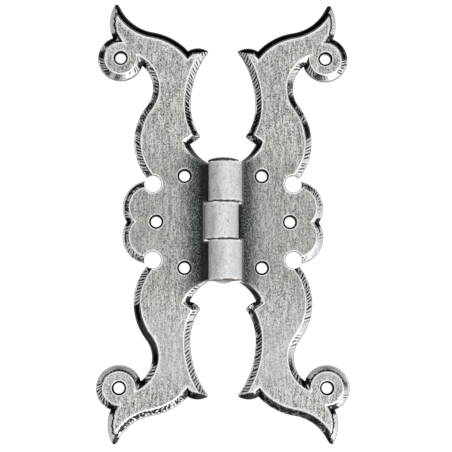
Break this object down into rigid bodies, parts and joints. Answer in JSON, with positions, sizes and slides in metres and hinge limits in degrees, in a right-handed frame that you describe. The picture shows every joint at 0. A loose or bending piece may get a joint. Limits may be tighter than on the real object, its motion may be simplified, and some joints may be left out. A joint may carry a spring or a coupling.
{
  "type": "chest hinge",
  "caption": "H-shaped surface hinge for a chest lid: flat bevelled leaves with curled bird-head ends, drilled screw holes and rolled knuckles on a headed pin.",
  "frame": {"origin": "centre of the hinge on the plane of its back faces, in line with the pin", "axes": "+X to the right leaf, +Y along the pin to its broad head, +Z out of the front faces"},
  "size_m": [0.08, 0.1404, 0.0106],
  "materials": {
    "leaf_steel": "filed and brushed",
    "pin_steel": "dull, darkened"
  },
  "bodies": {
    "left_leaf_and_pin": {"left_leaf": "leaf_steel", "hinge_pin": "pin_steel"},
    "right_leaf": {"right_leaf": "leaf_steel"}
  },
  "joints": [
    {"name": "leaf_hinge", "type": "hinge", "parent": "left_leaf_and_pin", "child": "right_leaf", "pos_m": [-0.00055, 0, 0.0053], "axis": [0, -1, 0], "range_deg": [-85, 185]}
  ]
}
